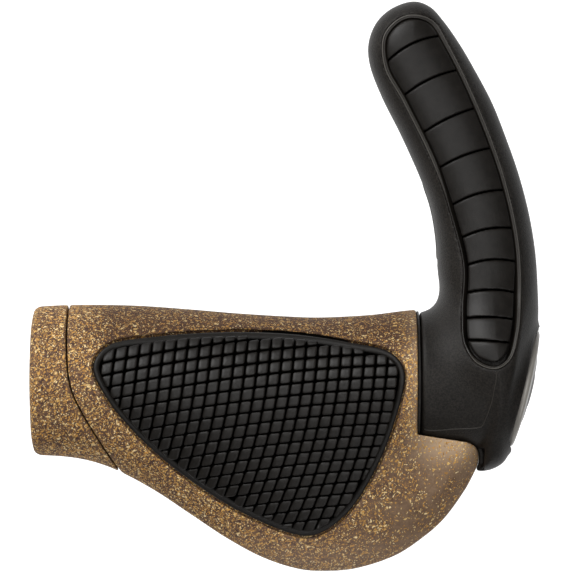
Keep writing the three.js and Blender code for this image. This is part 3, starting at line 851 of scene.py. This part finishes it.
horn_grid = Grid((72, -22, -19), (115, 86.5, 19), STEP)


def cap_place(g):
    """Distance along the end cap's tilted axis from its seat, and distance from that axis."""
    along = (g.x - CAP_SEAT_X) * math.cos(CAP_TILT) - (g.y - CAP_Y) * math.sin(CAP_TILT)
    across = (g.x - CAP_SEAT_X) * math.sin(CAP_TILT) + (g.y - CAP_Y) * math.cos(CAP_TILT)
    return along, np.hypot(across, g.z)


def horn_field(g):
    """The bar end's outer form: an oval horn joined to the round hub, and a boss round the end cap."""
    wide, thick = half_width(g.flat_y)[..., None], half_thickness(g.flat_y)[..., None]
    u = np.clip(1 + g.plan(smooth_loop(HORN_OUTLINE, 300)) / wide, 0, None)
    w = abs(g.z) / thick
    oval = (u ** OVAL_POWER + w ** OVAL_POWER) ** (1 / OVAL_POWER) - 1
    horn = g.even(oval * np.minimum(wide, thick))
    hub = meet(meet(g.axis_r - HUB_R, HUB_START - g.x, 1.0), g.x - HUB_OUTER_END, 1.0)
    forwards = np.clip((g.y - FILLET_FROM) / FILLET_OVER, 0, 1)
    form = join(horn, hub, FILLET_BACK + FILLET_MORE * forwards * forwards * (3 - 2 * forwards))
    along, cap_r = cap_place(g)
    boss = meet(meet(cap_r - CAP_R - BOSS_WALL, along, BOSS_ROUND), -BOSS_DEPTH - along, BOSS_ROUND)
    return g.even(join(form, boss, BOSS_FILLET))


horn_form = horn_field(horn_grid)

THUMB_OUTLINE = [
    (101.9, 2.9), (97.8, 4.2), (95.2, 8.4), (94.8, 15), (95.2, 25.5), (93.3, 34), (88.9, 47.4),
    (82.1, 61.5), (77.9, 69.5), (77.9, 76.5), (82.5, 80.6), (88.3, 79.7), (92.2, 73.8), (98.8, 59.8),
    (104.2, 45), (107.2, 31.5), (107.8, 21), (106.9, 10.5), (105, 4.8),
]
BACK_OUTLINE = [
    (100.5, 25.6), (92, 25.8), (87.6, 28), (86.8, 36), (85.5, 47), (81.8, 58), (77.9, 67),
    (78.9, 75.3), (84.5, 78.3), (90.5, 73.5), (97, 66), (105, 55), (110.5, 44), (113.4, 34),
    (113, 27.6), (109, 25.8),
]
COVER_OUTLINE = [
    (100.6, 29), (95.4, 32), (91.8, 43), (86.8, 54), (82.4, 64.5), (81.9, 71), (86.2, 72), (91.8, 64),
    (98.2, 52.5), (103.2, 41), (105.4, 32.5),
]
thumb_loop = smooth_loop(THUMB_OUTLINE, 190)
back_loop = smooth_loop(BACK_OUTLINE, 160)


LOBE_CREASE = 100.05  # the lobe's top starts here; the strip beside the wing's end is lower
LOBE_STEP = 1.1  # by this much
LOBE_FRONT = -14.8
SEAT_MORE = 0.35  # the cap's seat is this much wider than the cap
BEVEL_MORE = 1.0  # and the bevel round it this much
BEVEL_DEPTH = 0.55
PLUG_ROOM = (12.2, 1.4)  # radius and depth of the room for the plug's flange
BOLT_HEAD_R = 5.1
BOLT_HEAD_Z = -5.3  # the screw's head is reached from below this height
BACK_TOP = -0.1  # the back pad's recess lies below this height
COVER_TOP = -6  # and the back cover's below this one
HOLLOW_EDGE = 1.2  # the hollow over the cover: how much smaller it is, its wall and its top
HOLLOW_WALL = 3.2
HOLLOW_TOP = 4.4
BAND_ROOM = (14.2, 2.8)  # radius and half width of the room for the clamp band
EARS_Y = 18.6
EARS_ROOM = (4.9, 5.9, 5.6)  # half sizes
SLIT_Y = 14.6
SLIT_ROOM = (9.6, 0.5)  # half sizes along y and z
SLIT_END = 102.4


def clamp_room(g):
    """Room for the clamp band and its ears, with the slit that lets the hub close."""
    beside = abs(g.x - BOLT[0])
    band = overlap(g.axis_r - BAND_ROOM[0], beside - BAND_ROOM[1])
    ears = overlap(beside - EARS_ROOM[0], abs(g.y - EARS_Y) - EARS_ROOM[1], abs(g.z) - EARS_ROOM[2])
    slit = overlap(abs(g.y - SLIT_Y) - SLIT_ROOM[0], abs(g.z) - SLIT_ROOM[1], g.x - SLIT_END)
    return np.minimum(np.minimum(band, ears), slit)


def cap_seat(body, g):
    """The seat that the end cap's rim sinks into, with a fine bevel round it."""
    along, cap_r = cap_place(g)
    body = cut(body, meet(cap_r - CAP_R - SEAT_MORE, -along, 0.2), 0.5)
    body = cut(body, overlap(cap_r - CAP_R - BEVEL_MORE, -BEVEL_DEPTH - along), 0.3)
    return sharp_cut(body, cap_r - PLUG_ROOM[0], -PLUG_ROOM[1] - along)


def bar_end_body():
    """The moulded bar end: hub, horn and lobe, with its recesses, bores and the hollow on the underside."""
    g = horn_grid
    thumb = overlap(g.plan(thumb_loop), TOP_FROM - g.z)
    back = overlap(g.plan(back_loop), g.z - BACK_TOP)
    cover = g.plan(smooth_loop(COVER_OUTLINE, 60))
    bolt_r = np.hypot(g.x - BOLT[0], g.y - BOLT[1])
    crease = overlap(g.x - LOBE_CREASE, g.y - LOBE_FRONT, TOP_FROM - g.z)
    body = sharp_cut(horn_form, crease, -(horn_form + LOBE_STEP))
    body = cut(body, meet(thumb, -(horn_form + THUMB_DEPTH), 0.3), 0.3)
    body = cut(body, meet(back, -(horn_form + PAD_DEPTH), 0.3), 0.3)
    body = sharp_cut(body, g.axis_r - HUB_BORE_R, g.x - BORE_END)
    body = sharp_cut(body, g.axis_r - PLUG_BORE_R)
    body = cap_seat(body, g)
    body = cut(body, overlap(bolt_r - BOLT_HEAD_R, g.z - BOLT_HEAD_Z), 0.5)
    body = sharp_cut(body, cover, g.z - COVER_TOP)
    body = sharp_cut(body, cover + HOLLOW_EDGE, horn_form + HOLLOW_WALL, g.z - HOLLOW_TOP)
    body = sharp_cut(body, clamp_room(g))
    piece("bar_end_skin", *g.skin(body), "bar_end", "nylon", NYLON, "bar_end_body")


# ---------------------------------------------------------------- pads on the bar end

# Cross grooves: the middle's x and y, and how far the middle bows towards the tip.
GROOVES = [
    (84.3, 74.5, 0.85), (87.8, 66.5, 0.6), (92.1, 58, 0.4), (95.6, 49.8, 0.5), (98.4, 41.3, 0.75),
    (100.2, 33.5, 0.85), (101.2, 26.8, 0.95), (101.2, 20.2, 0.8), (101.2, 14.2, 0.5), (100.8, 9.0, 0.2),
]
GROOVE_DEPTH = 1.0
GROOVE_HALF = 0.17
LIP_DEPTH = 0.22  # the worn lip behind each groove, as a share of the groove's depth
LIP_REACH = 0.35
PAD_TIP = (80.5, 82.5)
PAD_FOOT = (100.4, 3)
PAD_HALF = 5.7  # half the pad's width
PAD_EDGE = 0.45
PAD_SINK = 0.05  # the pad's top lies this far below the horn's round form
PAD_UNDER = 0.2  # rounding of the edges that lie in a recess
LIT_ON_FORM = 1.15  # lit share on the horn's form, before it is held to 1
SHADE_DEPTH = 0.6  # it falls by 1 over this depth
# Rings of the rim: how far inside the pad's outline, height over the nylon, and lit share: 1 paints a
# highlight on the bead, 0 paints shade in the recess.
RIM_RINGS = [
    (0.56, -2.2, 0), (0.54, -0.4, 0), (0.48, -0.18, 0.25), (0.38, -0.13, 0.1), (0.33, -0.12, 0),
    (0.3, 0.04, 0), (0.22, 0.13, 0.6), (0.12, 0.15, 1), (0.02, 0.1, 0.4), (-0.08, -0.02, 0),
    (-0.16, -0.3, 0),
]
MOULD_LINE = [
    (101.8, 2.4), (101.6, -2), (101, -5), (99.9, -8.2), (99.2, -9.7), (98.2, -10.1), (94, -10.35),
    (86.6, -10.3),
]
# The line's cross section: distance to its side, height over the nylon, and lit share, which paints a
# highlight along its ridge.
MOULD_SECTION = [(-0.2, -0.15, 0), (-0.1, 0.06, 0.15), (0, 0.1, 0.4), (0.1, 0.06, 0.15), (0.2, -0.15, 0)]
LINE_STEPS = 16  # points on each stretch of the line
RIB_PITCH = 6
RIB_HALF = 0.5
RIB_HEIGHT = 0.25
RIB_EDGE = 3  # the ribs fade out this far inside the back pad's edge
RIB_FADE = 1.5
BACK_PROUD = 0.15
BACK_PAD_TOP = -0.4
BACK_EDGE = 0.6


def groove_depth(x, y):
    """How deep the thumb pad's cross grooves are: narrow cuts with a rubbed-down lip behind them."""
    line = np.array([PAD_TIP, *(groove[:2] for groove in GROOVES), PAD_FOOT])
    depth = np.zeros(x.shape)
    for k, (middle_x, middle_y, bow) in enumerate(GROOVES):
        along = line[k] - line[k + 2]
        along /= np.linalg.norm(along)
        dx, dy = x - middle_x, y - middle_y
        side = dx * along[1] - dy * along[0]
        forward = dx * along[0] + dy * along[1] + bow * (side / PAD_HALF) ** 2
        groove = np.exp(-(np.abs(forward) / GROOVE_HALF) ** 2.5)
        lip = LIP_DEPTH * np.exp(-np.clip(-forward, 0, None) / LIP_REACH) * (forward < 0)
        depth = np.maximum(depth, np.maximum(groove, lip))
    return GROOVE_DEPTH * depth


def rim_share(loop):
    """1 where the thumb pad's rim is broad, 0 along the lower inner side, where the groove is open."""
    x, y = loop.T
    return 1 - np.clip((97.5 - x) / 2.5, 0, 1) * np.clip((48 - y) / 10, 0, 1)


def pad_margin(loop):
    """How far the thumb pad's edge stands inside its recess: widest round its lower end."""
    x, y = loop.T
    low = np.clip((30 - y) / 12, 0, 1) * np.clip((x - 95.5) / 4, 0, 1)
    return 1.0 + 0.55 * low * low * (3 - 2 * low)


def horn_form_on(g):
    """The bar end's outer form on another grid."""
    spots = np.stack(np.broadcast_arrays(g.x, g.y, g.z), -1).reshape(-1, 3)
    return horn_grid.sample(horn_form, spots).reshape(g.size)


def thumb_pad():
    """The long rubber inlay on top of the horn."""
    g = Grid((76, 2, 3), (109, 82, 18.5), FINE)
    form = horn_form_on(g)
    edge = g.plan(inward(thumb_loop, pad_margin(thumb_loop)))
    top = form + PAD_SINK + groove_depth(g.flat_x, g.flat_y)[..., None]
    pad = meet(meet(top, edge, PAD_EDGE), -(form + THUMB_DEPTH - GAP), PAD_UNDER)
    points, faces = g.skin(pad)
    made = piece("thumb_pad_ribbed", points, faces, "bar_end", "pad_rubber", RUBBER, "thumb_pad")
    # Painted shade: the lit share falls where the pad sinks below the horn's form, down in its grooves.
    paint_light_and_shade(made, np.clip(LIT_ON_FORM + horn_grid.sample(horn_form, points) / SHADE_DEPTH, 0, 1))


def thumb_rim():
    """The bead and ledge moulded round the thumb pad's recess."""
    sheet = TopSheet(horn_grid, horn_form)
    share = rim_share(thumb_loop)
    points = []
    for inside, height, _ in RIM_RINGS:
        raised = height * share - 0.2 * (1 - share) if height > 0 else height
        points.append(sheet.lift(inward(thumb_loop, inside * (0.3 + 0.7 * share)), raised))
    faces = bands(len(points), len(thumb_loop))
    made = piece("thumb_rim", np.concatenate(points), faces, "bar_end", "nylon", EDGE)
    # Painted highlight along the bead's top and painted shade down the recess wall.
    paint_light_and_shade(made, np.concatenate([share * lit_share for _, _, lit_share in RIM_RINGS]))
    upward_faces(made)


def mould_line():
    """A fine raised line that runs along the hub and up to the thumb pad."""
    sheet = TopSheet(horn_grid, horn_form)
    path = smooth_loop(MOULD_LINE, LINE_STEPS * len(MOULD_LINE))[:1 - LINE_STEPS]
    along = np.gradient(path, axis=0)
    along /= np.linalg.norm(along, axis=1, keepdims=True)
    side = np.column_stack([-along[:, 1], along[:, 0]])
    points = [sheet.lift(path + side * across, height) for across, height, _ in MOULD_SECTION]
    faces = bands(len(points), len(path), closed=False)
    made = piece("mould_line", np.concatenate(points), faces, "bar_end", "nylon", EDGE)
    # Painted highlight along the ridge of the line.
    paint_light_and_shade(made, np.repeat([lit_share for _, _, lit_share in MOULD_SECTION], len(path)))
    upward_faces(made)


def back_pad():
    """The rubber inlay under the horn, with shallow cross ribs."""
    g = Grid((76, 24, -13), (115, 80, 1), FINE * 1.5)
    form = horn_form_on(g)
    edge = g.plan(inward(back_loop, GAP))
    along = (g.flat_y + 0.3 * (g.flat_x - 95)) % RIB_PITCH - RIB_PITCH / 2
    ribs = RIB_HEIGHT * np.exp(-(np.abs(along) / RIB_HALF) ** 2)[..., None]
    middle = np.clip(-(edge + RIB_EDGE) / RIB_FADE, 0, 1)
    pad = meet(meet(form - BACK_PROUD + ribs * middle, edge, BACK_EDGE), g.z - BACK_PAD_TOP, BACK_EDGE)
    pad = meet(pad, -(form + PAD_DEPTH - GAP), PAD_UNDER)
    points, faces = g.skin(pad)
    made = piece("back_pad_skin", points, faces, "bar_end", "pad_rubber", RUBBER, "back_pad")
    paint_light_and_shade(made, np.ones(len(points)))


# ---------------------------------------------------------------- the end cap

# Profiles turned about the cap's axis: radius, and height above the seat.
TRIM_PROFILE = [
    (9.0, -0.6), (13.0, -0.6), (CAP_R, -0.5), (CAP_R, 0.3), (13.05, 0.5), (12.75, 0.68), (11.5, 0.86),
    (9.6, 1.1), (9.25, 1.15), (9.1, 1.05), (9.0, 0.8), (9.0, -0.6),
]
DOME_PROFILE = [
    (8.95, -0.4), (8.95, 0.95), (8.8, 1.12), (8.5, 1.2), (7.6, 1.27), (7.4, 1.42), (7.2, 1.5), (5.5, 1.6),
    (4.1, 1.66), (3.9, 1.84), (3.7, 1.92), (2.5, 1.97), (1.2, 2.0), (0.01, 2.01),
]
CAP_SEGMENTS = 128


def turned(profile):
    """Points and faces of a profile turned about the cap's axis."""
    seat = np.array([CAP_SEAT_X, CAP_Y, 0])
    axis = np.array([math.cos(CAP_TILT), -math.sin(CAP_TILT), 0])
    side = np.array([math.sin(CAP_TILT), math.cos(CAP_TILT), 0])
    angle = np.linspace(0, 2 * math.pi, CAP_SEGMENTS, endpoint=False)[:, None]
    ring = side * np.cos(angle) + np.array([0, 0, 1]) * np.sin(angle)
    points = np.concatenate([seat + axis * height + ring * radius for radius, height in profile])
    return points, bands(len(profile), CAP_SEGMENTS)


def end_cap():
    """The cap's lighter rim and its stepped dome."""
    piece("trim_ring_skin", *turned(TRIM_PROFILE), "end_cap", "trim", TRIM, "trim_ring")
    piece("end_plug_dome", *turned(DOME_PROFILE), "end_cap", "nylon", CAP)


# ---------------------------------------------------------------- CAD pieces that keep their shape

def dress(node, material):
    """Gives a CAD node its material."""
    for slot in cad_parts[node].material_slots:
        slot.material = material


# ---------------------------------------------------------------- floor, lights and camera, in metres

MIDDLE = (0.056, 0.02, 0)
FLOOR_Z = -0.25
FLOOR_GLOW = 0.6
WORLD_LIGHT = 0.12
# Square lights that face the middle of the object: name, place, side and watts.
SOFTBOXES = [
    ("key", (-0.38, 0.6, 0.55), 0.25, 7),
    ("top", (0.0, 0.1, 1.5), 0.7, 8.6),
    ("fill", (0.25, -0.8, 0.8), 0.5, 2.6),
]
CAMERA_PLACE = (0.0562, 0.021, 0.9)
VIEW_WIDTH = 0.1271
SENSOR = 36


def stage():
    """A white floor well below the object, and even white surroundings."""
    bpy.ops.mesh.primitive_plane_add(size=6, location=(*MIDDLE[:2], FLOOR_Z))
    floor = bpy.context.object
    floor.name = "floor"
    look = Look("white_floor", (0.8, 0.8, 0.8), 0.9)
    look.shader.inputs["Emission Color"].default_value = (1, 1, 1, 1)
    look.shader.inputs["Emission Strength"].default_value = FLOOR_GLOW
    floor.data.materials.append(look.material)
    world = bpy.data.worlds.new("studio")
    bpy.context.scene.world = world
    world.use_nodes = True
    background = world.node_tree.nodes["Background"]
    background.inputs["Color"].default_value = (1, 1, 1, 1)
    background.inputs["Strength"].default_value = WORLD_LIGHT


def softbox(name, place, size, power):
    """A square light that faces the middle of the object."""
    data = bpy.data.lights.new(name, "AREA")
    data.size = size
    data.energy = power
    lamp = bpy.data.objects.new(name, data)
    lamp.location = place
    lamp.rotation_euler = (Vector(MIDDLE) - lamp.location).to_track_quat("-Z", "Y").to_euler()
    bpy.context.collection.objects.link(lamp)


def camera():
    """Straight above the middle of the grip and its bar end, with forwards at the top of the picture."""
    data = bpy.data.cameras.new("camera")
    data.sensor_width = SENSOR
    data.lens = SENSOR * CAMERA_PLACE[2] / VIEW_WIDTH
    data.clip_start, data.clip_end = 0.05, 10
    made = bpy.data.objects.new("camera", data)
    made.location = CAMERA_PLACE
    bpy.context.collection.objects.link(made)
    bpy.context.scene.camera = made


cork_pieces()
palm_pad()
bar_end_body()
thumb_pad()
thumb_rim()
mould_line()
back_pad()
end_cap()
for name in ("grip_core", "back_cover", "end_plug"):
    dress(name, NYLON)
for name in ("bolt_washer", "clamp_bolt"):
    dress(name, STEEL)
dress("clamp_band", ALLOY)
stage()
for light in SOFTBOXES:
    softbox(*light)
camera()
bpy.context.scene.view_settings.view_transform = "Standard"
